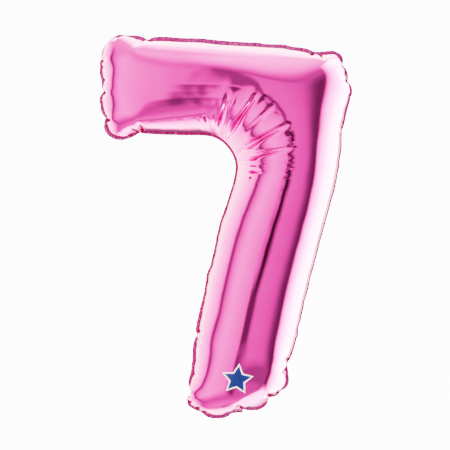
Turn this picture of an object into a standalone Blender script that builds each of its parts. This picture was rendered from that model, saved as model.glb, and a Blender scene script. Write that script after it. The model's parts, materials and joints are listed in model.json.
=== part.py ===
"""Inflated foil number balloon: a seven made of two heat-sealed foil films.

Metres, +Z up. The front faces -Y and +X is to the right seen from the front. The
origin is the middle of the crease where the filling tail leaves the bottom seam,
the place where a ribbon is tied.
"""

import math

import bpy
import numpy as np
from mathutils import Euler, Vector, geometry

# Outer edge of the sealed flange, counter-clockwise seen from the front, starting at
# the tail: (x, z, corner radius). The elbow is the one concave corner.
OUTLINE = (
    (0.0425, 0.007, 0.024),
    (0.067, 0.161, 0.300),
    (0.084, 0.318, 0.034),
    (-0.136, 0.318, 0.022),
    (-0.132, 0.2315, 0.020),
    (-0.011, 0.2315, 0.024),
    (-0.0425, -0.007, 0.020),
)
ARC_STEP = 0.0075
RUN_STEP = 0.0130
LATTICE = 0.0115

FLANGE_WIDTH = 0.0043
FILM = 0.0003
GAP = 0.0003
PLY = 0.0002
# Between the films: gap, ply, gap, ply, gap.
HALF_SPACE = (3 * GAP + 2 * PLY) / 2
# The bulge is this part of the round section that the seam's width would give.
FULLNESS = 0.97
# Distances in from the seam of the rings that follow the steep start of the bulge.
BULGE_RINGS = (0.0012, 0.0042)

NECK_WIDTH = 0.020
VALVE_WIDTH = 0.016
VALVE_HEIGHT = 0.062
TAIL_LENGTH = 0.032
TAIL_SEAL_WIDTH = 0.0025
# The crease runs this far behind and below the rear corner of the flange's edge.
CREASE_OFFSET = 0.00015
# From hanging straight down, the folded tail has turned back and up by this much.
TAIL_FOLD = math.radians(118)

FOIL_PINK = (0.78, 0.09, 0.42, 1.0)
SEAM_PINK = (0.45, 0.03, 0.22, 1.0)
CLEAR_FILM = (0.86, 0.88, 0.90, 1.0)


def clear_scene():
    for old in list(bpy.data.objects):
        bpy.data.objects.remove(old, do_unlink=True)


def material(name, colour, metallic, roughness):
    made = bpy.data.materials.new(name)
    made.use_nodes = True
    shader = made.node_tree.nodes["Principled BSDF"]
    shader.inputs["Base Color"].default_value = colour
    shader.inputs["Metallic"].default_value = metallic
    shader.inputs["Roughness"].default_value = roughness
    made.diffuse_color = colour
    return made


def foil():
    return material("pink_foil", FOIL_PINK, 1.0, 0.12)


def sealed_foil():
    return material("heat_seal", SEAM_PINK, 0.6, 0.45)


def clear_film():
    return material("valve_film", CLEAR_FILM, 0.0, 0.35)


def bottom_direction():
    """Unit direction of the bottom edge in the (x, z) plane, left to right."""
    left, right = np.array(OUTLINE[-1][:2]), np.array(OUTLINE[0][:2])
    return (right - left) / np.linalg.norm(right - left)


def corner_arc(before, corner, after, radius, inset):
    """Points of one rounded corner of the outline moved in by `inset`."""
    start = (corner - before) / np.linalg.norm(corner - before)
    end = (after - corner) / np.linalg.norm(after - corner)
    turn = math.atan2(start[0] * end[1] - start[1] * end[0], start @ end)
    side = math.copysign(1.0, turn)
    left = np.array([-start[1], start[0]])
    centre = corner - start * radius * math.tan(abs(turn) / 2) + left * side * radius
    reach = radius - side * inset
    first = math.atan2(*(-left * side)[::-1])
    steps = max(2, math.ceil(abs(turn) * radius / ARC_STEP))
    angles = first + turn * np.arange(steps + 1) / steps
    return centre + reach * np.stack([np.cos(angles), np.sin(angles)], axis=1)


def corner_arcs(inset):
    corners = [np.array(place[:2]) for place in OUTLINE]
    return [
        corner_arc(corners[i - 1], corners[i], corners[(i + 1) % len(corners)], place[2], inset)
        for i, place in enumerate(OUTLINE)
    ]


def outline(inset):
    """The outline moved in by `inset`, from the tail's right edge round to its left edge.

    Every inset gives the same number of points, so two insets bridge point to point.
    """
    along = bottom_direction()
    half = along * (NECK_WIDTH / 2 + GAP)
    neck_up = np.array([-along[1], along[0]]) * inset
    edge_arcs = corner_arcs(0.0)
    starts = [half] + [arc[-1] for arc in edge_arcs]
    ends = [arc[0] for arc in edge_arcs] + [-half]
    moved_arcs = corner_arcs(inset) + [[]]
    path = [half + neck_up]
    for start, end, arc in zip(starts, ends, moved_arcs):
        length = np.linalg.norm(end - start)
        left = np.array([start[1] - end[1], end[0] - start[0]]) / length
        count = max(1, round(length / RUN_STEP))
        path += [start + (end - start) * j / count + left * inset for j in range(1, count)]
        path += list(arc)
    path.append(neck_up - half)
    return np.array(path)


def closed_ring(inset):
    """The whole closed outline at an inset: the path from the tail's edges, and the neck between."""
    path = outline(inset)
    return np.vstack([path, (path[0] + path[-1]) / 2])


def edge_distance(points, ring):
    """Signed distance of each point from a closed ring, positive inside it."""
    following = np.roll(ring, -1, axis=0)
    edge = following - ring
    away = points[:, None] - ring
    share = np.clip((away * edge).sum(2) / (edge * edge).sum(1), 0, 1)
    distance = np.linalg.norm(away - share[..., None] * edge, axis=2).min(1)
    x, z = points[:, :1], points[:, 1:]
    spans = (ring[:, 1] > z) != (following[:, 1] > z)
    rise = np.where(edge[:, 1] == 0, 1.0, edge[:, 1])
    crosses = spans & (x < edge[:, 0] * (z - ring[:, 1]) / rise + ring[:, 0])
    return np.where(crosses.sum(1) % 2 == 1, distance, -distance)


def lattice_inside(ring):
    """Triangular lattice points that keep a clear margin inside a ring."""
    low, high = ring.min(axis=0), ring.max(axis=0)
    rows = np.arange(low[1], high[1], LATTICE * math.sqrt(3) / 2)
    points = [
        (x + LATTICE / 2 * (row % 2), z)
        for row, z in enumerate(rows)
        for x in np.arange(low[0], high[0], LATTICE)
    ]
    points = np.array(points)
    return points[edge_distance(points, ring) > 0.55 * LATTICE]


def bulge_heights(points, faces, fixed):
    """How far each point stands out: the root of a soap film's height over the outline.

    A long strip of width w comes out as a half circle of that width, which is the
    section that a tube of film takes under pressure.
    """
    count = len(points)
    stiffness = np.zeros((count, count))
    load = np.zeros(count)
    for face in faces:
        a, b, c = points[list(face)]
        area = abs((b - a)[0] * (c - a)[1] - (b - a)[1] * (c - a)[0]) / 2
        edges = np.array([c - b, a - c, b - a])
        stiffness[np.ix_(face, face)] += edges @ edges.T / (4 * area)
        load[list(face)] += area / 3
    free = np.setdiff1d(np.arange(count), fixed)
    film = np.zeros(count)
    film[free] = np.linalg.solve(stiffness[np.ix_(free, free)], load[free])
    return FULLNESS * np.sqrt(2 * film)


def panel_pattern():
    """Points, triangles and bulge heights shared by both foil panels."""
    insets = [0.0, FLANGE_WIDTH] + [FLANGE_WIDTH + ring for ring in BULGE_RINGS]
    rings = [closed_ring(inset) for inset in insets]
    around = len(rings[0])
    inner = lattice_inside(rings[-1])
    points = np.vstack(rings + [inner])
    faces = []
    for ring in range(len(rings) - 1):
        for i in range(around):
            j = (i + 1) % around
            outer, deeper = ring * around, (ring + 1) * around
            faces.append((outer + i, outer + j, deeper + j))
            faces.append((outer + i, deeper + j, deeper + i))
    first = (len(rings) - 1) * around
    flat = [Vector(point) for point in points[first:]]
    loop = [(i, (i + 1) % around) for i in range(around)]
    filled = geometry.delaunay_2d_cdt(flat, loop, [], 1, 1e-7)[2]
    faces += [tuple(first + i for i in face) for face in filled]
    bulging = [face for face in faces if min(face) >= around]
    relabelled = [tuple(i - around for i in face) for face in bulging]
    heights = np.zeros(len(points))
    heights[around:] = bulge_heights(points[around:], relabelled, np.arange(around))
    return points, faces, heights


def mesh_object(name, points, faces, look):
    mesh = bpy.data.meshes.new(name)
    mesh.from_pydata([tuple(point) for point in points], [], faces)
    mesh.update()
    made = bpy.data.objects.new(name, mesh)
    bpy.context.scene.collection.objects.link(made)
    mesh.materials.append(look)
    return made


def film_panel(name, side, look):
    """One foil panel, bulging towards -Y for side -1 and towards +Y for side +1."""
    points, faces, heights = panel_pattern()
    places = [(x, side * (HALF_SPACE + height), z) for (x, z), height in zip(points, heights)]
    if side > 0:
        faces = [face[::-1] for face in faces]
    panel = mesh_object(name, places, faces, look)
    shell = panel.modifiers.new("film", "SOLIDIFY")
    shell.thickness = FILM
    shell.offset = 1.0
    shell.use_even_offset = True
    panel.data.shade_smooth()
    return panel


def extruded(name, outline_points, low, high, look):
    """A flat strip or plate: a closed (x, z) loop given thickness from y = low to y = high."""
    count = len(outline_points)
    points = [(x, low, z) for x, z in outline_points] + [(x, high, z) for x, z in outline_points]
    faces = [tuple(range(count)), tuple(range(2 * count - 1, count - 1, -1))]
    for i in range(count):
        j = (i + 1) % count
        faces.append((i, count + i, count + j, j))
    return mesh_object(name, points, faces, look)


def perimeter_heat_seal():
    """The welded band between the two flanges, open where the neck passes through it."""
    thickness = HALF_SPACE - GAP
    outer, inner = outline(0.0), outline(FLANGE_WIDTH - GAP)
    count = len(outer)
    points = [(x, y, z) for y in (-thickness, thickness) for ring in (outer, inner) for x, z in ring]
    front_outer, front_inner, rear_outer, rear_inner = (k * count for k in range(4))
    faces = []
    for i in range(count - 1):
        j = i + 1
        faces.append((front_outer + i, front_outer + j, front_inner + j, front_inner + i))
        faces.append((rear_outer + j, rear_outer + i, rear_inner + i, rear_inner + j))
        faces.append((front_outer + j, front_outer + i, rear_outer + i, rear_outer + j))
        faces.append((front_inner + i, front_inner + j, rear_inner + j, rear_inner + i))
    last = count - 1
    faces.append((front_outer, front_inner, rear_inner, rear_outer))
    faces.append((front_outer + last, rear_outer + last, rear_inner + last, front_inner + last))
    return mesh_object("perimeter_heat_seal", points, faces, sealed_foil())


def valve_ply(name, side):
    """One of the two clear plies that pressure closes: a strip up the middle of the neck."""
    along = bottom_direction()
    up = np.array([-along[1], along[0]])
    half = along * VALVE_WIDTH / 2
    mouth = up * GAP
    top = up * VALVE_HEIGHT
    corners = [mouth - half, mouth + half, top + half, top - half]
    near, far = side * GAP / 2, side * (GAP / 2 + PLY)
    return extruded(name, corners, min(near, far), max(near, far), clear_film())


def tail_pivot():
    """Empty on the crease line. Its X runs along the bottom edge, and its -Z down the hanging tail."""
    pivot = bpy.data.objects.new("tail_pivot", None)
    bpy.context.scene.collection.objects.link(pivot)
    along = bottom_direction()
    up = np.array([-along[1], along[0]])
    x, z = -CREASE_OFFSET * up
    pivot.location = (x, HALF_SPACE + FILM + CREASE_OFFSET, z)
    pivot.rotation_euler = Euler((0.0, -math.atan2(along[1], along[0]), 0.0))
    return pivot


def tail_strip(name, pivot, left, right, low, high, look):
    """A piece of the tail, drawn hanging in front of its crease, then folded back and up."""
    loop = [(left, -TAIL_LENGTH), (right, -TAIL_LENGTH), (right, -CREASE_OFFSET), (left, -CREASE_OFFSET)]
    middle = -(HALF_SPACE + FILM + CREASE_OFFSET)
    strip = extruded(name, loop, middle + low, middle + high, look)
    strip.parent = pivot
    strip.rotation_euler = Euler((TAIL_FOLD, 0.0, 0.0))
    return strip


def tail():
    """The filling tail, folded up behind the balloon: two films welded along their sides."""
    pivot = tail_pivot()
    half = NECK_WIDTH / 2
    inner = half - TAIL_SEAL_WIDTH
    seal = HALF_SPACE - GAP
    tail_strip("tail_front_film", pivot, -half, half, -HALF_SPACE - FILM, -HALF_SPACE, foil())
    tail_strip("tail_rear_film", pivot, -half, half, HALF_SPACE, HALF_SPACE + FILM, foil())
    tail_strip("tail_left_seal", pivot, -half, -inner, -seal, seal, sealed_foil())
    tail_strip("tail_right_seal", pivot, inner, half, -seal, seal, sealed_foil())


def build():
    clear_scene()
    film_panel("front_film_panel", -1, foil())
    film_panel("rear_film_panel", 1, foil())
    perimeter_heat_seal()
    valve_ply("valve_front_ply", -1)
    valve_ply("valve_rear_ply", 1)
    tail()


build()
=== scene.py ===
import json
import math

import bpy
import numpy as np
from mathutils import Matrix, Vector, geometry
from mathutils.bvhtree import BVHTree


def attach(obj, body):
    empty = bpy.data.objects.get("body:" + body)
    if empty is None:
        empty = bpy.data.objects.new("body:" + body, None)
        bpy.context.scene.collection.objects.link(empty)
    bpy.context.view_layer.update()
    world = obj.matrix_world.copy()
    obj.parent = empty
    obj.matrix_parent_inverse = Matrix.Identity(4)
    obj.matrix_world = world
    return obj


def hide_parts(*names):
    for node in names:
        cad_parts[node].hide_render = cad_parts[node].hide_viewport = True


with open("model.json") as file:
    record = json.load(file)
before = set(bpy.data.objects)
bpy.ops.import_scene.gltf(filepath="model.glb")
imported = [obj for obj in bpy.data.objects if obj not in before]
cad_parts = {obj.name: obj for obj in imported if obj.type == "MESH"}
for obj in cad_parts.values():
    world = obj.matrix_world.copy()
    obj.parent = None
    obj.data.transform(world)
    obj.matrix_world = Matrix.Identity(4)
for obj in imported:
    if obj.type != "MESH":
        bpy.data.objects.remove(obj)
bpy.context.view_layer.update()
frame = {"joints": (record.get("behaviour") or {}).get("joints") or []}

# ---------------------------------------------------------------------------
# Driving sizes, in metres, in the part's own frame.

# The seam between the two films as it lies in the flat, before they are filled: (x, z,
# corner radius, width of the sealed rim near there), counter-clockwise from the front.
# Filling draws its edges in.
PATTERN = (
    (0.0689, 0.0100, 0.036, 0.0022),
    (0.0784, 0.0620, 0.150, 0.0013),
    (0.0875, 0.1500, 0.400, 0.0012),
    (0.0939, 0.2050, 0.400, 0.0014),
    (0.0942, 0.2850, 0.034, 0.0018),
    (0.0805, 0.3176, 0.026, 0.0030),
    (0.0300, 0.3334, 0.300, 0.0032),
    (-0.0450, 0.3448, 0.400, 0.0036),
    (-0.1392, 0.3564, 0.034, 0.0030),
    (-0.1537, 0.2900, 0.080, 0.0028),
    (-0.1467, 0.2483, 0.026, 0.0030),
    (-0.0950, 0.2352, 0.200, 0.0022),
    (-0.0330, 0.2204, 0.030, 0.0013),
    (-0.0430, 0.1500, 0.300, 0.0015),
    (-0.0457, 0.1050, 0.200, 0.0016),
    (-0.0453, 0.0480, 0.060, 0.0028),
    (-0.0388, 0.0150, 0.060, 0.0026),
    (-0.0366, -0.0132, 0.024, 0.0024),
    (-0.0030, -0.0280, 0.050, 0.0024),
    (0.0250, -0.0195, 0.050, 0.0024),
    (0.0450, -0.0120, 0.040, 0.0026),
)

# Places along the flat seam where it is tucked into a pleat: (x, z, depth).
PLEATS = (
    (-0.0920, 0.3485, 1.0), (-0.1150, 0.3490, 0.9), (-0.1255, 0.3460, 0.6),
    (-0.1350, 0.3410, 0.9), (-0.1435, 0.3280, 1.0), (-0.1515, 0.2950, 1.0),
    (-0.1475, 0.2680, 1.0), (-0.1180, 0.2400, 0.9), (-0.0455, 0.0500, 0.9),
    (-0.0340, -0.0060, 1.0), (-0.0295, -0.0120, 0.6), (-0.0145, -0.0240, 0.7),
    (0.0020, -0.0268, 0.15), (0.0170, -0.0207, 0.5), (0.0270, -0.0150, 0.8),
    (0.0534, -0.0035, 0.9), (0.0650, 0.0090, 0.8), (0.0735, 0.0364, 0.9),
    (0.0950, 0.2450, 0.4), (0.0936, 0.2920, 0.8), (0.0840, 0.3080, 0.9),
    (0.0560, 0.3300, 1.0),
)
# How much of the seam the deepest pleat takes in at its middle, its half width along the
# seam, and how far it reaches to either side of the seam.
PLEAT_TUCK = 0.9
PLEAT_WIDTH = 0.004
PLEAT_REACH = 0.010
# How far the deepest pleat is pulled inwards before the filling, and over what distance.
PLEAT_PULL = 0.004
PLEAT_PULL_REACH = 0.006
# How much of the sealed rim's width the deepest pleat hides.
PLEAT_RIM_SHARE = 0.8

# Creases that fan out from the inner corner of the elbow, in the flat films: the fan's
# centre, and each crease's direction in degrees and depth in metres.
FAN = (-0.038, 0.213)
CREASES = (
    (82, 0.0003), (77, 0.0005), (71, 0.0006), (66, 0.0007), (60, 0.0007), (54, 0.0011),
    (48, 0.0007), (43, 0.0014), (37, 0.0007), (31, 0.0008), (25, 0.0015), (20, 0.0007),
    (16, 0.0007), (12, 0.0007), (7, 0.0012), (2, 0.0008), (-3, 0.0005),
)
CREASE_WIDTH = 0.0016
# How near to the centre the creases start, and how far out they end across the stem and
# across the bar.
FAN_REACH = (0.026, 0.079, 0.052)
# Over what distance the creases deepen at their start and fade at their end, the elbow's
# own firmness gives way to the rest's, and the evening out sets in beyond the fan.
CREASE_START_FADE = 0.020
CREASE_END_FADE = 0.012
FIRM_FADE = 0.015
EVEN_FADE = 0.010

# Edge length of the first, coarse triangles. Inner points lie off their lattice by a little
# and keep clear of the seam, both as shares of the edge length.
COARSE_EDGE = 0.006
LATTICE_JITTER = 0.06
LATTICE_CLEARANCE = 0.62
# The filling's levels, each with half the edge length of the one before it: how many
# steps, the gas pressure, and how firmly the elbow's edges resist being shortened.
LEVELS = ((1000, 5e-6, 0.02), (400, 2.5e-6, 0.02), (300, 1.25e-6, 1.0))
# How firmly all the other edges resist it, with 1 for as firmly as being stretched.
FIRMNESS = 0.5
# How far each film starts from the seam's plane, and the unevenness that it starts with.
START_LIFT = 0.002
ROUGHEN = 0.0002
# Over what distance the seam's course is smoothed for the outer edge of the rim.
RIM_SMOOTHING = 0.002
# The films are evened out fully from this many edges inside the seam, this many times.
EVEN_HOPS = 16
EVEN_ROUNDS = 12
RIM_THICKNESS = 0.00025

# The star printed on the front film: its centre, its turn in radians, and each layer's
# piece, outer and inner radius, lift off the film, ink, and the ink's two shades.
STAR_CENTRE = (0.0024, 0.0318)
STAR_TURN = -0.05
STAR_LAYERS = (
    ("star_outline", 0.0140, 0.0072, 0.00008, "white_ink",
     (0.90, 0.90, 0.91), (0.95, 0.95, 0.95)),
    ("star_print", 0.0116, 0.0056, 0.00016, "blue_ink",
     (0.0, 0.032, 0.17), (0.001, 0.042, 0.21)),
)
# Edge length of the star's triangles.
STAR_EDGE = 0.0008

TAIL_WIDTH = 0.020
TAIL_LENGTH = 0.0318
# Distances of the tail's layers from the axis of its crease, towards its front side.
TAIL_FRONT_AT = 0.0019
TAIL_WELD_AT = 0.0011
TAIL_REAR_AT = 0.0003
TAIL_FILM_THICKNESS = 0.00006
# The tail's films start this far from the crease, and ripple by this much.
TAIL_GAP = 0.0002
TAIL_RIPPLE = 0.0005
WELD_THICKNESS = 0.0009
CRIMP_PITCH = 0.0012
CRIMP_HEIGHT = 0.00012

VALVE_WIDTH = 0.016
VALVE_LENGTH = 0.062
VALVE_THICKNESS = 0.00005
# The direction of the bottom seam where the valve and the tail leave it, from the front.
SEAM_RUN = (0.9867, 0.1625)
# The plies start this far above the crease, each this far from the middle plane, bulge
# apart further up, and lie in a shallow wave.
VALVE_START = 0.001
VALVE_HALF_GAP = 0.00025
VALVE_BULGE = 0.0009
VALVE_WAVE = 0.0015

# The camera rolls by this much, and the studio with it, because the numeral hangs aslant.
STUDIO_LEAN = math.radians(4.3)
# Brightness of the plain surroundings that the camera sees, and of the brightest ones that
# the foil mirrors.
SEEN_WHITE = 6.0
BRIGHTEST = 20.0


# ---------------------------------------------------------------------------
# The films' flat pattern.


def rounded_outline(corners, step):
    """Closed outline through rounded corners, with points about `step` apart."""
    places = [np.array(corner[:2]) for corner in corners]
    arcs = []
    for i, radius in enumerate(corner[2] for corner in corners):
        before, here, after = places[i - 1], places[i], places[(i + 1) % len(places)]
        start = (here - before) / np.linalg.norm(here - before)
        end = (after - here) / np.linalg.norm(after - here)
        turn = math.atan2(start[0] * end[1] - start[1] * end[0], start @ end)
        side = np.array([-start[1], start[0]]) * math.copysign(1.0, turn)
        centre = here - start * radius * math.tan(abs(turn) / 2) + side * radius
        first = math.atan2(-side[1], -side[0])
        count = max(2, math.ceil(abs(turn) * radius / step))
        angles = first + turn * np.arange(count + 1) / count
        arcs.append(centre + radius * np.stack([np.cos(angles), np.sin(angles)], axis=1))
    path = []
    for arc, following in zip(arcs, arcs[1:] + arcs[:1]):
        gap = following[0] - arc[-1]
        count = max(1, int(np.linalg.norm(gap) / step))
        path += list(arc) + [arc[-1] + gap * j / count for j in range(1, count)]
    return np.array(path)


def rim_widths(seam, corners):
    """The sealed rim's width at each point of the seam."""
    spread = 0.02
    corners = np.array(corners)
    away = ((seam[:, None] - corners[:, :2]) ** 2).sum(2)
    share = np.exp(-(away - away.min(axis=1)[:, None]) / (2 * spread**2))
    return (share * corners[:, 3]).sum(1) / share.sum(1)


def evenly_spaced(path, spacing):
    """The closed path as points at equal distances along it."""
    closed = np.vstack([path, path[:1]])
    along = np.concatenate([[0], np.cumsum(np.linalg.norm(np.diff(closed, axis=0), axis=1))])
    count = round(along[-1] / spacing)
    at = np.linspace(0, along[-1], count, endpoint=False)
    return np.stack([np.interp(at, along, closed[:, k]) for k in range(2)], axis=1)


def depth_inside(points, ring):
    """Distance of each point from a closed ring, positive inside it."""
    edge = np.roll(ring, -1, axis=0) - ring
    away = points[:, None] - ring
    share = np.clip((away * edge).sum(2) / (edge * edge).sum(1), 0, 1)
    distance = np.linalg.norm(away - share[..., None] * edge, axis=2).min(1)
    x, z = points[:, :1], points[:, 1:]
    spans = (ring[:, 1] > z) != (np.roll(ring[:, 1], -1) > z)
    rise = np.where(edge[:, 1] == 0, 1.0, edge[:, 1])
    crosses = spans & (x < edge[:, 0] * (z - ring[:, 1]) / rise + ring[:, 0])
    return np.where(crosses.sum(1) % 2 == 1, distance, -distance)


def flat_film(seam, spacing, random):
    """Points and triangles that fill the seam: its own points first, then a loose lattice."""
    low, high = seam.min(axis=0), seam.max(axis=0)
    rows = np.arange(low[1], high[1], spacing * math.sqrt(3) / 2)
    lattice = [
        (x + spacing / 2 * (row % 2), z)
        for row, z in enumerate(rows)
        for x in np.arange(low[0], high[0], spacing)
    ]
    lattice = np.array(lattice)
    lattice += random.normal(0, LATTICE_JITTER * spacing, lattice.shape)
    lattice = lattice[depth_inside(lattice, seam) > LATTICE_CLEARANCE * spacing]
    points = np.vstack([seam, lattice])
    loop = [(i, (i + 1) % len(seam)) for i in range(len(seam))]
    filled = geometry.delaunay_2d_cdt([Vector(p) for p in points], loop, [], 1, 1e-7)
    faces = np.array([list(face) for face in filled[2]])
    a, b, c = (points[faces[:, k]] for k in range(3))
    turned = (b - a)[:, 0] * (c - a)[:, 1] < (b - a)[:, 1] * (c - a)[:, 0]
    faces[turned] = faces[turned][:, ::-1]
    return points, faces


FRONT, REAR, RIM = 0, 1, 2


class Envelope:
    """Two films joined along their seam, with the sealed rim outside it.

    flat holds each point's place in the pattern, side is -1 on the front film, 1 on
    the rear one and 0 on the seam and the rim, and part tells the faces apart.
    """

    def __init__(self, pattern, spacing):
        random = np.random.default_rng(7)
        seam = evenly_spaced(rounded_outline(pattern, spacing / 4), spacing)
        points, front = flat_film(seam, spacing, random)
        around, inner = len(seam), len(points) - len(seam)
        rear = front[:, ::-1].copy()
        rear[rear >= around] += inner
        ahead = np.roll(seam, -1, axis=0) - np.roll(seam, 1, axis=0)
        ahead /= np.linalg.norm(ahead, axis=1)[:, None]
        width = rim_widths(seam, pattern)[:, None]
        edge = seam + width * np.stack([ahead[:, 1], -ahead[:, 0]], axis=1)
        i = np.arange(around)
        j = (i + 1) % around
        outer = around + 2 * inner
        rim = np.vstack([
            np.stack([i, outer + i, outer + j], axis=1),
            np.stack([i, outer + j, j], axis=1),
        ])
        self.flat = np.vstack([points, points[around:], edge])
        sides = [np.zeros(around), -np.ones(inner), np.ones(inner), np.zeros(around)]
        self.side = np.concatenate(sides)
        self.faces = np.vstack([front, rear, rim])
        self.part = np.repeat([FRONT, REAR, RIM], [len(front), len(rear), len(rim)])
        uneven = np.random.default_rng(5).normal(0, ROUGHEN, len(self.flat))
        lift = self.side * START_LIFT + uneven
        self.place = np.stack([self.flat[:, 0], lift, self.flat[:, 1]], axis=1)

    def edges(self):
        pairs = [self.faces[:, [0, 1]], self.faces[:, [1, 2]], self.faces[:, [2, 0]]]
        return np.unique(np.sort(np.vstack(pairs), axis=1), axis=0)

    def refine(self):
        """Splits each triangle into four."""
        edges, count = self.edges(), len(self.flat)
        code = edges[:, 0] * count + edges[:, 1]
        a, b, c = self.faces.T

        def middle(first, second):
            low, high = np.minimum(first, second), np.maximum(first, second)
            return count + np.searchsorted(code, low * count + high)

        ab, bc, ca = middle(a, b), middle(b, c), middle(c, a)
        split = [(a, ab, ca), (ab, b, bc), (ca, bc, c), (ab, bc, ca)]
        self.faces = np.vstack([np.stack(corners, axis=1) for corners in split])
        self.part = np.tile(self.part, 4)
        first, second = edges.T
        sides = self.side[first], self.side[second]
        self.side = np.r_[self.side, np.where(sides[0] == 0, sides[1], sides[0])]
        self.flat = np.vstack([self.flat, (self.flat[first] + self.flat[second]) / 2])
        self.place = np.vstack([self.place, (self.place[first] + self.place[second]) / 2])


def pleat_frames(seam):
    """Each pleat as (place on the seam, outward direction, depth), from its rough place."""
    found = []
    for x, z, depth in PLEATS:
        nearest = np.argmin(np.hypot(seam[:, 0] - x, seam[:, 1] - z))
        ahead = seam[(nearest + 1) % len(seam)] - seam[nearest - 1]
        ahead /= np.linalg.norm(ahead)
        found.append((seam[nearest], np.array([ahead[1], -ahead[0]]), depth))
    return found


def tucked_lengths(envelope, edges, lengths, pleats):
    """Rest lengths of the edges, shortened where a pleat takes in the seam and the rim."""
    on_rim = (envelope.side[edges] == 0).all(axis=1)
    middle = envelope.flat[edges].mean(axis=1)
    run = envelope.flat[edges[:, 1]] - envelope.flat[edges[:, 0]]
    for place, outward, depth in pleats:
        ahead = np.array([-outward[1], outward[0]])
        along = (middle - place) @ ahead
        near = np.abs((middle - place) @ outward) < PLEAT_REACH
        straight = (run @ ahead / np.linalg.norm(run, axis=1)) ** 2
        tuck = PLEAT_TUCK * depth * np.exp(-((along / PLEAT_WIDTH) ** 2))
        lengths = lengths * (1 - tuck * near * on_rim * straight)
    return lengths


# ---------------------------------------------------------------------------
# Filling the envelope: a film that hardly stretches, under gas pressure.


def apart(pairs, count, seed):
    """The pairs sorted into groups in which no point is named twice."""
    random = np.random.default_rng(seed)
    left, groups = np.arange(len(pairs)), []
    best = np.zeros(count, np.int64)
    while len(left):
        chosen, used, rest = [], np.zeros(count, bool), left
        for _ in range(4):
            rest = rest[~used[pairs[rest]].any(axis=1)]
            if not len(rest):
                break
            rank = random.permutation(len(rest)) + 1
            best[:] = 0
            np.maximum.at(best, pairs[rest, 0], rank)
            np.maximum.at(best, pairs[rest, 1], rank)
            wins = (best[pairs[rest]] == rank[:, None]).all(axis=1)
            chosen.append(rest[wins])
            used[pairs[rest[wins]]] = True
        groups.append(np.concatenate(chosen))
        left = np.setdiff1d(left, groups[-1])
    return groups


def opposite_points(faces):
    """The two far corners of each pair of triangles that share an edge."""
    count = faces.max() + 1
    edges = np.vstack([faces[:, [0, 1]], faces[:, [1, 2]], faces[:, [2, 0]]])
    far = np.concatenate([faces[:, 2], faces[:, 0], faces[:, 1]])
    code = edges.min(axis=1) * count + edges.max(axis=1)
    order = np.argsort(code, kind="stable")
    code, far = code[order], far[order]
    _, start, uses = np.unique(code, return_index=True, return_counts=True)
    start = start[uses == 2]
    return np.stack([far[start], far[start + 1]], axis=1)


def fan_polar(flat):
    """Each point's distance and direction from the fan's centre, and the fan's reach there."""
    away = flat - FAN
    angle = np.arctan2(away[:, 1], away[:, 0])
    _, by_stem, by_bar = FAN_REACH
    reach = by_stem + (by_bar - by_stem) * np.sin(angle) ** 2
    return np.linalg.norm(away, axis=1), angle, reach


class Filling:
    """Steps the envelope's points under pressure, edge lengths and a slight stiffness."""

    def __init__(self, envelope, pleats, elbow_firmness, stiffness=0.02, rim_stiffness=0.3):
        self.envelope = envelope
        self.count = len(envelope.flat)
        flat, faces, part = envelope.flat, envelope.faces, envelope.part
        edges = envelope.edges()
        lengths = np.linalg.norm(flat[edges[:, 0]] - flat[edges[:, 1]], axis=1)
        lengths = tucked_lengths(envelope, edges, lengths, pleats)
        from_fan, _, reach = fan_polar(flat[edges].mean(axis=1))
        in_fan = np.clip((reach - from_fan) / FIRM_FADE, 0, 1)
        resist = FIRMNESS + (elbow_firmness - FIRMNESS) * in_fan
        self.springs = [
            (edges[g, 0], edges[g, 1], lengths[g], resist[g]) for g in apart(edges, self.count, 1)
        ]
        films = [opposite_points(faces[part == film]) for film in (FRONT, REAR)]
        folds = np.vstack(films + [opposite_points(faces[part == RIM])])
        spans = np.linalg.norm(flat[folds[:, 0]] - flat[folds[:, 1]], axis=1)
        firm = np.full(len(folds), stiffness)
        firm[len(films[0]) + len(films[1]):] = rim_stiffness
        self.folds = [
            (folds[g, 0], folds[g, 1], spans[g], firm[g]) for g in apart(folds, self.count, 2)
        ]
        a, b, c = (flat[faces[:, k]] for k in range(3))
        areas = abs((b - a)[:, 0] * (c - a)[:, 1] - (b - a)[:, 1] * (c - a)[:, 0]) / 2
        self.area = sum(np.bincount(faces[:, k], areas / 3, self.count) for k in range(3))
        self.gas_faces = faces[part != RIM]

    def push(self, place):
        """Gas pressure on each point, for its area."""
        a, b, c = (place[self.gas_faces[:, k]] for k in range(3))
        normal = np.cross(b - a, c - a) / 6
        force = np.zeros_like(place)
        for k in range(3):
            for axis in range(3):
                force[:, axis] += np.bincount(self.gas_faces[:, k], normal[:, axis], self.count)
        return force / self.area[:, None]

    def run(self, steps, pressure, keep=0.97):
        """Moves the points, with the pressure worked out anew every other step."""
        place = self.envelope.place
        speed = np.zeros_like(place)
        for step in range(steps):
            if step % 2 == 0:
                push = self.push(place) * pressure
            before = place.copy()
            speed += push
            place += speed
            for i, j, length, resist in self.springs:
                gap = place[j] - place[i]
                now = np.sqrt((gap * gap).sum(1))
                share = (now - length) / now * 0.5
                gap *= np.where(share < 0, share * resist, share)[:, None]
                place[i] += gap
                place[j] -= gap
            for i, j, span, firm in self.folds:
                gap = place[j] - place[i]
                now = np.sqrt((gap * gap).sum(1))
                gap *= ((now - span) / now * 0.5 * firm)[:, None]
                place[i] += gap
                place[j] -= gap
            speed = (place - before) * keep


def crease_elbow(envelope):
    """Presses the fan of creases into both films, inwards."""
    from_fan, angle, reach = fan_polar(envelope.flat)
    fade = np.clip((from_fan - FAN_REACH[0]) / CREASE_START_FADE, 0, 1)
    fade *= np.clip((reach - from_fan) / CREASE_END_FADE, 0, 1)
    for direction, depth in CREASES:
        across = (angle - math.radians(direction)) * from_fan
        groove = depth * np.exp(-((across / CREASE_WIDTH) ** 2)) * fade
        envelope.place[:, 1] -= envelope.side * groove


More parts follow.
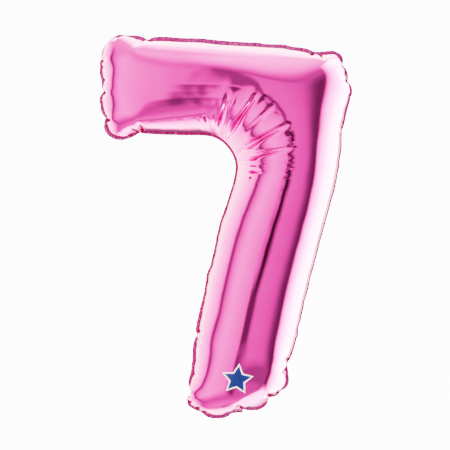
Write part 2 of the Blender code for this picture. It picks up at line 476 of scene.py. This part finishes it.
def filled_envelope():
    """The envelope after filling, from coarse to fine."""
    envelope = Envelope(PATTERN, COARSE_EDGE)
    seam = evenly_spaced(rounded_outline(PATTERN, COARSE_EDGE / 4), COARSE_EDGE)
    pleats = pleat_frames(seam)
    for place, outward, depth in pleats:
        near = np.exp(-(((envelope.flat - place) ** 2).sum(1)) / PLEAT_PULL_REACH**2)
        envelope.place[:, [0, 2]] -= PLEAT_PULL * depth * near[:, None] * outward
    levels = LEVELS
    for level, (steps, pressure, elbow_firmness) in enumerate(levels):
        if level:
            envelope.refine()
        if level == len(LEVELS) - 1:
            crease_elbow(envelope)
        Filling(envelope, pleats, elbow_firmness).run(steps, pressure)
    return envelope


def even_films(envelope):
    """Evens out the films' faint facets, away from the seam and from the fan of creases."""
    ends = envelope.edges().T
    ways = (ends, ends[::-1])
    near_seam = (envelope.side == 0).astype(float)
    for _ in range(EVEN_HOPS):
        for here, there in ways:
            np.maximum.at(near_seam, here, near_seam[there] - 1 / EVEN_HOPS)
    from_fan, _, reach = fan_polar(envelope.flat)
    freedom = (1 - near_seam) ** 3 * np.clip((from_fan - reach) / EVEN_FADE, 0, 1)
    place, count = envelope.place, len(envelope.flat)
    links = np.bincount(ends.ravel(), minlength=count)
    for _ in range(EVEN_ROUNDS):
        total = np.zeros_like(place)
        for here, there in ways:
            for axis in range(3):
                total[:, axis] += np.bincount(here, place[there, axis], count)
        place += (total / links[:, None] - place) * (0.5 * freedom[:, None])


def spread_rim(envelope):
    """Turns the sealed rim straight outwards from its seam, and narrows it at the pleats."""
    flat, place = envelope.flat, envelope.place
    on_film = np.zeros(len(flat), bool)
    on_film[envelope.faces[envelope.part != RIM]] = True
    rim = np.unique(envelope.faces[envelope.part == RIM])
    seam, outer = rim[on_film[rim]], rim[~on_film[rim]]
    away = flat[outer][:, None] - flat[seam]
    away = (away**2).sum(2)
    first, second = np.argsort(away, axis=1)[:, :2].T
    run = flat[seam[second]] - flat[seam[first]]
    ahead = ((flat[outer] - flat[seam[first]]) * run).sum(1) / (run * run).sum(1)
    share = np.clip(ahead, 0, 1)[:, None]
    offset = flat[outer] - flat[seam[first]] - share * run
    near = np.exp(-(away - away.min(axis=1)[:, None]) / (2 * RIM_SMOOTHING**2))
    even = near @ place[seam] / near.sum(1)[:, None]
    base = place[seam[first]] * (1 - share) + place[seam[second]] * share
    settled = np.clip(np.linalg.norm(offset, axis=1) / RIM_SMOOTHING, 0, 1)[:, None]
    place[outer] = base + (even - base) * settled
    for x, z, depth in PLEATS:
        from_pleat = np.linalg.norm(flat[seam[first]] - (x, z), axis=1)
        hidden = PLEAT_RIM_SHARE * depth * np.exp(-((from_pleat / PLEAT_WIDTH) ** 2))
        offset *= (1 - hidden)[:, None]
    place[outer, 0] += offset[:, 0]
    place[outer, 2] += offset[:, 1]


# ---------------------------------------------------------------------------
# Materials.


class Nodes:
    """Short calls for building one node tree."""

    def __init__(self, tree):
        self.tree = tree

    def add(self, kind, inputs=None, **settings):
        node = self.tree.nodes.new(kind)
        for name, value in settings.items():
            setattr(node, name, value)
        for name, value in (inputs or {}).items():
            self.feed(node.inputs[name], value)
        return node

    def feed(self, socket, value):
        if isinstance(value, bpy.types.NodeSocket):
            self.tree.links.new(value, socket)
        else:
            socket.default_value = value

    def math(self, operation, first, second=0.0):
        node = self.add("ShaderNodeMath", operation=operation)
        self.feed(node.inputs[0], first)
        self.feed(node.inputs[1], second)
        return node.outputs[0]

    def ramp(self, factor, stops):
        node = self.add("ShaderNodeValToRGB", {"Fac": factor})
        ramp = node.color_ramp
        while len(ramp.elements) < len(stops):
            ramp.elements.new(0.5)
        for element, (position, colour) in zip(ramp.elements, stops):
            element.position = position
            element.color = (*colour, 1.0)
        return node.outputs["Color"]

    def noise(self, at, scale, detail):
        node = self.add("ShaderNodeTexNoise", {"Vector": at, "Scale": scale, "Detail": detail})
        return node.outputs["Fac"]

    def between(self, factor, low, high):
        node = self.add("ShaderNodeMapRange", {"Value": factor, "To Min": low, "To Max": high})
        return node.outputs["Result"]

    def bump(self, height, strength, distance):
        settings = {"Height": height, "Strength": strength, "Distance": distance}
        return self.add("ShaderNodeBump", settings).outputs["Normal"]


def new_material(name):
    """A material, its nodes, its shader's inputs, and the place on the piece."""
    made = bpy.data.materials.new(name)
    made.use_nodes = True
    nodes = Nodes(made.node_tree)
    at = nodes.add("ShaderNodeTexCoord").outputs["Object"]
    return made, nodes, made.node_tree.nodes["Principled BSDF"].inputs, at


def foil_material():
    """Pink lacquered aluminium film: a mirror with a faint unevenness in tint and gloss."""
    made, nodes, shader, at = new_material("pink_foil_film")
    tints = [(0.3, (0.94, 0.088, 0.325)), (0.7, (0.96, 0.102, 0.35))]
    nodes.feed(shader["Base Color"], nodes.ramp(nodes.noise(at, 28.0, 3.0), tints))
    shader["Metallic"].default_value = 1.0
    nodes.feed(shader["Roughness"], nodes.between(nodes.noise(at, 900.0, 2.0), 0.04, 0.09))
    shader["Coat Weight"].default_value = 0.5
    shader["Coat Roughness"].default_value = 0.04
    nodes.feed(shader["Normal"], nodes.bump(nodes.noise(at, 150.0, 2.0), 0.25, 0.00004))
    return made


def seal_material():
    """The welded rim: darker, with the fine crushed grain that the sealing jaws leave."""
    made, nodes, shader, at = new_material("pink_heat_seal")
    grain = nodes.noise(at, 420.0, 4.0)
    tints = [(0.35, (0.24, 0.055, 0.15)), (0.52, (0.42, 0.10, 0.26)), (0.68, (0.66, 0.22, 0.44))]
    nodes.feed(shader["Base Color"], nodes.ramp(grain, tints))
    shader["Metallic"].default_value = 0.9
    nodes.feed(shader["Roughness"], nodes.between(grain, 0.35, 0.55))
    pits = nodes.add("ShaderNodeTexVoronoi", {"Vector": at, "Scale": 700.0})
    nodes.feed(shader["Normal"], nodes.bump(pits.outputs["Distance"], 0.6, 0.0004))
    return made


def valve_material():
    """Clear polyethylene film, slightly milky."""
    made, nodes, shader, at = new_material("clear_valve_film")
    haze = nodes.noise(at, 160.0, 3.0)
    tints = [(0.35, (0.80, 0.83, 0.86)), (0.65, (0.92, 0.93, 0.95))]
    nodes.feed(shader["Base Color"], nodes.ramp(haze, tints))
    nodes.feed(shader["Roughness"], nodes.between(haze, 0.15, 0.35))
    shader["Alpha"].default_value = 0.5
    return made


def ink_material(name, dark, light):
    """Printed ink: flat colour with a slight mottle, less glossy than the film under it."""
    made, nodes, shader, at = new_material(name)
    mottle = nodes.noise(at, 500.0, 3.0)
    nodes.feed(shader["Base Color"], nodes.ramp(mottle, [(0.3, dark), (0.7, light)]))
    nodes.feed(shader["Roughness"], nodes.between(mottle, 0.28, 0.4))
    return made


# ---------------------------------------------------------------------------
# Pieces.


def mesh_piece(name, points, faces, material):
    mesh = bpy.data.meshes.new(name)
    mesh.from_pydata(np.asarray(points).tolist(), [], np.asarray(faces).tolist())
    mesh.update()
    mesh.shade_smooth()
    mesh.materials.append(material)
    made = bpy.data.objects.new(name, mesh)
    bpy.context.scene.collection.objects.link(made)
    return made


def part_piece(name, envelope, part, material):
    """One film, or the rim, as a piece with only its own points."""
    faces = envelope.faces[envelope.part == part]
    used, index = np.unique(faces, return_inverse=True)
    return mesh_piece(name, envelope.place[used], index.reshape(-1, 3), material)


def thicken(piece, thickness):
    """Gives a sheet its thickness, half of it to either side."""
    shell = piece.modifiers.new("thickness", "SOLIDIFY")
    shell.thickness = thickness
    shell.offset = 0.0


def star_points(radius, notch, count=5):
    """Corners of an upright star, in its own plane."""
    points = []
    for i in range(2 * count):
        reach = radius if i % 2 == 0 else notch
        angle = math.pi / 2 + math.pi * i / count
        points.append((reach * math.cos(angle), reach * math.sin(angle)))
    return np.array(points)


def printed_star(name, radius, notch, lift, onto, material):
    """A star printed on the front film: laid flat in front of it, then dropped onto it."""
    outline = evenly_spaced(star_points(radius, notch), STAR_EDGE)
    points, faces = flat_film(outline, STAR_EDGE, np.random.default_rng(3))
    cos, sin = math.cos(STAR_TURN), math.sin(STAR_TURN)
    surface = BVHTree.FromPolygons(
        [v.co for v in onto.data.vertices], [p.vertices for p in onto.data.polygons]
    )
    in_front = -0.2
    placed = []
    for u, v in points:
        x, z = STAR_CENTRE[0] + u * cos - v * sin, STAR_CENTRE[1] + u * sin + v * cos
        hit, normal, _, _ = surface.ray_cast(Vector((x, in_front, z)), Vector((0, 1, 0)))
        outward = normal if normal.y < 0 else -normal
        placed.append(hit + outward * lift)
    return mesh_piece(name, [tuple(p) for p in placed], faces, material)


def grid_faces(rows, columns):
    return [
        (corner, corner + 1, corner + columns + 2, corner + columns + 1)
        for row in range(rows)
        for corner in range(row * (columns + 1), row * (columns + 1) + columns)
    ]


def tail_layer(name, offset, across, crimp, material):
    """One layer of the folded tail, between two places across it in half widths.

    offset is its distance from the crease's axis, towards the tail's front side, which
    faces away from the balloon while the tail is folded. The films ripple gently, and the
    welds are crimped by fine ridges that run across them.
    """
    joint = frame["joints"][0]
    pivot, fold = np.array(joint["pos_m"]), math.radians(joint["range_deg"][1])
    along = -np.array(joint["axis"])
    up = np.array([-along[2], 0.0, along[0]])
    back = np.array([0.0, 1.0, 0.0])
    down = -up * math.cos(fold) + back * math.sin(fold)
    face = -back * math.cos(fold) - up * math.sin(fold)
    first, last = across
    rows, columns = 96, max(4, round(16 * (last - first) / 2))
    points = []
    for row in range(rows + 1):
        t = row / rows
        for column in range(columns + 1):
            s = first + (last - first) * column / columns
            ripple = TAIL_RIPPLE * math.sin(3.1 * math.pi * t + 2.2 * s) * t * (1 - s * s)
            ridge = crimp * math.sin(2 * math.pi * t * TAIL_LENGTH / CRIMP_PITCH)
            point = pivot + along * s * TAIL_WIDTH / 2 + down * (TAIL_GAP + t * TAIL_LENGTH)
            points.append(point + face * (offset + ripple + ridge))
    return mesh_piece(name, points, grid_faces(rows, columns), material)


def build_balloon():
    foil, seal, clear = foil_material(), seal_material(), valve_material()
    envelope = filled_envelope()
    even_films(envelope)
    spread_rim(envelope)

    front = part_piece("front_foil", envelope, FRONT, foil)
    rear = part_piece("rear_foil", envelope, REAR, foil)
    rim = part_piece("sealed_rim", envelope, RIM, seal)
    thicken(rim, RIM_THICKNESS)
    for piece, node in (
        (front, "front_film_panel"), (rear, "rear_film_panel"), (rim, "perimeter_heat_seal"),
    ):
        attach(piece, "balloon")
        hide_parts(node)

    for name, radius, notch, lift, ink, dark, light in STAR_LAYERS:
        shade = ink_material(ink, dark, light)
        print_piece = printed_star(name, radius, notch, lift, front, shade)
        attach(print_piece, "balloon")
    build_valve(clear)
    build_tail(foil, seal)


def build_valve(clear):
    """The two clear plies that lie close together inside the stem, above the seam."""
    rows, columns = 40, 12
    along = np.array([SEAM_RUN[0], 0.0, SEAM_RUN[1]])
    up = np.array([-SEAM_RUN[1], 0.0, SEAM_RUN[0]])
    for side, name, node in (
        (-1, "valve_front_sheet", "valve_front_ply"),
        (1, "valve_rear_sheet", "valve_rear_ply"),
    ):
        points = []
        for row in range(rows + 1):
            t = row / rows
            for column in range(columns + 1):
                s = 2 * column / columns - 1
                bow = side * (VALVE_HALF_GAP + VALVE_BULGE * t * (1 - s * s))
                bow += VALVE_WAVE * math.sin(5 * t) * t
                height = VALVE_START + (VALVE_LENGTH - VALVE_START) * t
                place = up * height + along * s * VALVE_WIDTH / 2
                points.append(place + np.array([0.0, bow, 0.0]))
        piece = mesh_piece(name, points, grid_faces(rows, columns), clear)
        thicken(piece, VALVE_THICKNESS)
        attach(piece, "balloon")
        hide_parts(node)


def build_tail(foil, seal):
    """The filling tail, two films welded along their sides, folded up behind the balloon.

    While folded, up to 23 mm of its length lies inside the rear foil, up to 3 mm deep.
    """
    for name, node, offset in (
        ("tail_front_foil", "tail_front_film", TAIL_FRONT_AT),
        ("tail_rear_foil", "tail_rear_film", TAIL_REAR_AT),
    ):
        piece = tail_layer(name, offset, (-1.0, 1.0), 0.0, foil)
        thicken(piece, TAIL_FILM_THICKNESS)
        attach(piece, "tail")
        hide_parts(node)
    for name, node, across in (
        ("tail_left_weld", "tail_left_seal", (-0.995, -0.78)),
        ("tail_right_weld", "tail_right_seal", (0.78, 0.995)),
    ):
        piece = tail_layer(name, TAIL_WELD_AT, across, CRIMP_HEIGHT, seal)
        thicken(piece, WELD_THICKNESS)
        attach(piece, "tail")
        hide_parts(node)


# ---------------------------------------------------------------------------
# Studio and camera.


def studio_world():
    """The studio as the foil mirrors it, for a balloon that faces azimuth 0.

    In front stands a large pale panel with dark edges and a gap for the camera, and a
    bright softbox stands on the right (azimuth 90) and reaches behind the balloon. Values
    are brightnesses by angle in degrees. The camera itself sees plain white.
    """
    world = bpy.data.worlds.new("studio")
    bpy.context.scene.world = world
    world.use_nodes = True
    nodes = Nodes(world.node_tree)
    background = world.node_tree.nodes["Background"]
    at = nodes.add("ShaderNodeTexCoord").outputs["Generated"]
    leaning = {"Vector": at, "Angle": STUDIO_LEAN}
    level_at = nodes.add("ShaderNodeVectorRotate", leaning, rotation_type="Y_AXIS")
    split = nodes.add("ShaderNodeSeparateXYZ", {"Vector": level_at.outputs[0]})
    x, y, z = (split.outputs[k] for k in range(3))
    azimuth = nodes.math("ARCTAN2", x, nodes.math("MULTIPLY", y, -1.0))
    turn = nodes.math("ADD", nodes.math("DIVIDE", azimuth, 2 * math.pi), 0.5)
    rise = nodes.math("ADD", nodes.math("DIVIDE", nodes.math("ARCSINE", z), math.pi), 0.5)

    def by_angle(factor, span, stops, unit):
        shades = [(0.5 + angle / span, (value / unit,) * 3) for angle, value in stops]
        return nodes.ramp(factor, shades)

    def by_azimuth(stops, unit=BRIGHTEST):
        return by_angle(turn, 360, stops, unit)

    def by_elevation(stops, unit=BRIGHTEST):
        return by_angle(rise, 180, stops, unit)

    def patch(azimuths, elevations):
        return nodes.math("MULTIPLY", by_azimuth(azimuths, 1.0), by_elevation(elevations, 1.0))

    def blend(share, first, second, blend_type="MIX"):
        node = nodes.add("ShaderNodeMix", data_type="RGBA", blend_type=blend_type)
        for name, value in (("Factor", share), ("A", first), ("B", second)):
            nodes.feed(node.inputs[name], value)
        return node.outputs["Result"]

    def grey(value):
        return (value / BRIGHTEST,) * 3 + (1.0,)

    beside = by_azimuth([
        (-180, 0.3), (-172, 0.35), (-162, 0.8), (-150, 2.4), (-134, 4.2), (-118, 4.0),
        (-106, 3.6), (-95, 3.0), (-86, 2.2), (-82, 1.3), (-78.5, 0.3), (-75.5, 0.35),
        (-70, 1.2), (-62, 1.8), (-54, 2.15), (-46, 2.2), (-37, 2.0), (-28, 1.8),
        (-19, 1.55), (-12, 1.15), (16, 1.1), (31, 1.0), (37, 0.93), (43, 0.75),
        (49, 0.5), (55, 0.28), (61, 0.18), (68, 0.2), (150, 1.5), (164, 1.2), (172, 0.35),
        (180, 0.3),
    ])
    behind = by_elevation([
        (-90, 2.6), (-84, 2.4), (-74, 5.5), (-62, 7.2), (-50, 2.8), (-42, 2.0), (-25, 0.4),
        (28, 0.3), (33, 0.5), (38, 4.5), (46, 7.0), (65, 8.0), (70, 5.0), (80, 4.0), (90, 2.8),
    ])
    above_left = by_elevation([(30, 1.5), (60, 1.6), (80, 2.0), (90, 2.6)])
    above_right = by_elevation([
        (46, 0.9), (52, 1.15), (58, 1.8), (64, 2.3), (72, 3.0), (82, 3.5), (90, 2.8),
    ])
    below_left = by_elevation([
        (-90, 2.6), (-87, 2.0), (-83, 0.6), (-80, 1.3), (-74, 1.3), (-64, 0.85), (-56, 0.6),
    ])
    below_right = by_elevation([(-90, 3.0), (-83, 5.0), (-72, 8.0), (-50, 9.0)])
    rightwards = by_azimuth([(-40, 0.0), (-10, 1.0)], 1.0)
    far_right = by_azimuth([(48, 0.0), (64, 1.0)], 1.0)
    above = blend(rightwards, above_left, above_right)
    below = blend(far_right, below_left, below_right)
    studio = blend(by_elevation([(34, 0.0), (54, 1.0)], 1.0), beside, above)
    studio = blend(by_elevation([(-62, 1.0), (-44, 0.0)], 1.0), studio, below)
    rearwards = [(-150, 1.0), (-125, 0.0), (135, 0.0), (152, 1.0)]
    off_level = [(-55, 1.0), (-40, 0.0), (26, 0.0), (30, 1.0)]
    studio = blend(patch(rearwards, off_level), studio, behind)

    darker = (
        # The panel's left edge, above the camera, beside it and below it.
        (0.33, [(-14, 0.0), (-12.6, 0.5), (-11.2, 0.9), (-5, 0.9), (-1.5, 0.0)],
         [(0, 0.0), (4, 1.0), (42, 1.0), (52, 0.0)]),
        (0.20, [(-15.6, 0.0), (-14.2, 0.8), (-12.5, 1.0), (-3, 1.0), (1, 0.4), (5, 0.0)],
         [(-26, 0.0), (-18, 1.0), (-5, 1.0), (-1, 0.0)]),
        (0.26, [(-16.8, 0.0), (-15, 0.9), (-12, 1.0), (-6, 0.65), (0, 0.3), (6, 0.0)],
         [(-60, 0.0), (-53, 1.0), (-24, 1.0), (-18, 0.0)]),
        # Its top and bottom edges.
        (0.65, [(-9, 0.0), (-6, 1.0), (61, 1.0), (68, 0.0)],
         [(41, 0.0), (43.5, 1.0), (46, 1.0), (49, 0.0)]),
        (0.48, [(-9, 0.0), (-6, 1.0), (52, 1.0), (62, 0.0)],
         [(-54, 0.0), (-45, 1.0), (-35, 1.0), (-28, 0.0)]),
        (0.24, [(-24, 0.0), (-19, 0.7), (-16, 1.0), (-8, 1.0), (-4, 0.0)],
         [(-61, 0.0), (-50, 0.9), (-40, 1.0), (-33, 0.0)]),
        # The camera.
        (0.05, [(-9, 0.0), (-5, 1.0), (-1, 1.0), (3, 0.55), (8, 0.0)],
         [(-8, 0.0), (-4, 1.0), (2, 1.0), (6, 0.0)]),
    )
    for value, azimuths, elevations in darker:
        studio = blend(patch(azimuths, elevations), studio, grey(value))
    softbox = nodes.math(
        "MULTIPLY",
        by_azimuth([
            (66, 0.0), (70, 1.8), (73, 3.0), (79, 5.5), (85, 7.5), (91, 10.0), (97, 14.0),
            (103, 18.0), (109, 20.0), (135, 20.0), (143, 0.0),
        ]),
        by_elevation([(-54, 0.0), (-48, 1.0), (54, 1.0), (61, 0.0)], 1.0),
    )
    studio = blend(1.0, studio, softbox, "LIGHTEN")
    # Its colour by brightness: bluish in the dark gaps, mauve at the panel's dim edges, warm
    # on the panel, white in the softbox.
    tone = (
        (0.0, 0.0, 0.0, 0.0), (0.25, 0.22, 0.28, 0.34), (0.5, 0.46, 0.51, 0.58),
        (0.65, 0.76, 0.66, 0.79), (0.95, 1.42, 0.90, 1.09), (1.5, 2.33, 1.72, 1.63),
        (2.2, 3.2, 2.75, 2.35), (2.8, 4.0, 3.5, 2.8), (4.0, 5.4, 4.7, 3.7),
        (5.2, 6.5, 6.2, 4.9), (10.0, 10.5, 10.8, 9.5), (20.0, 20.0, 20.0, 20.0),
    )
    stops = [
        (value / BRIGHTEST, tuple(part / BRIGHTEST for part in colour)) for value, *colour in tone
    ]
    studio = nodes.ramp(studio, stops)
    seen = nodes.add("ShaderNodeLightPath").outputs["Is Camera Ray"]
    nodes.feed(background.inputs["Color"], blend(seen, studio, grey(SEEN_WHITE)))
    background.inputs["Strength"].default_value = BRIGHTEST


def studio_floor():
    """A wide pale floor a little below the hanging tail."""
    made, nodes, shader, at = new_material("pale_floor")
    tints = [(0.3, (0.18, 0.18, 0.18)), (0.7, (0.20, 0.20, 0.20))]
    nodes.feed(shader["Base Color"], nodes.ramp(nodes.noise(at, 3.0, 2.0), tints))
    shader["Roughness"].default_value = 0.8
    shader["Emission Color"].default_value = (1.0, 1.0, 1.0, 1.0)
    shader["Emission Strength"].default_value = SEEN_WHITE
    radius, height, sides = 6, -0.07, 64
    angles = [2 * math.pi * i / sides for i in range(sides)]
    ring = [(radius * math.cos(angle), radius * math.sin(angle), height) for angle in angles]
    floor = mesh_piece("floor", ring, [tuple(range(sides))], made)
    floor.visible_glossy = False
    floor.visible_diffuse = False


def camera():
    """Long lens, level, looking along +Y, with the numeral's top edge sloping as it hangs."""
    lens, sensor = 100.0, 36.0
    # The middle of the picture, and how wide the picture is there.
    target = Vector((-0.0175, 0.0, 0.1597))
    width = 0.387
    data = bpy.data.cameras.new("camera")
    made = bpy.data.objects.new("camera", data)
    bpy.context.scene.collection.objects.link(made)
    data.lens, data.sensor_width = lens, sensor
    made.location = target + Vector((0.0, -width * lens / sensor, 0.0))
    made.rotation_euler = (math.radians(90), -STUDIO_LEAN, 0.0)
    bpy.context.scene.camera = made


build_balloon()
studio_world()
studio_floor()
camera()
bpy.context.scene.view_settings.view_transform = "Filmic"
bpy.context.scene.view_settings.look = "High Contrast"
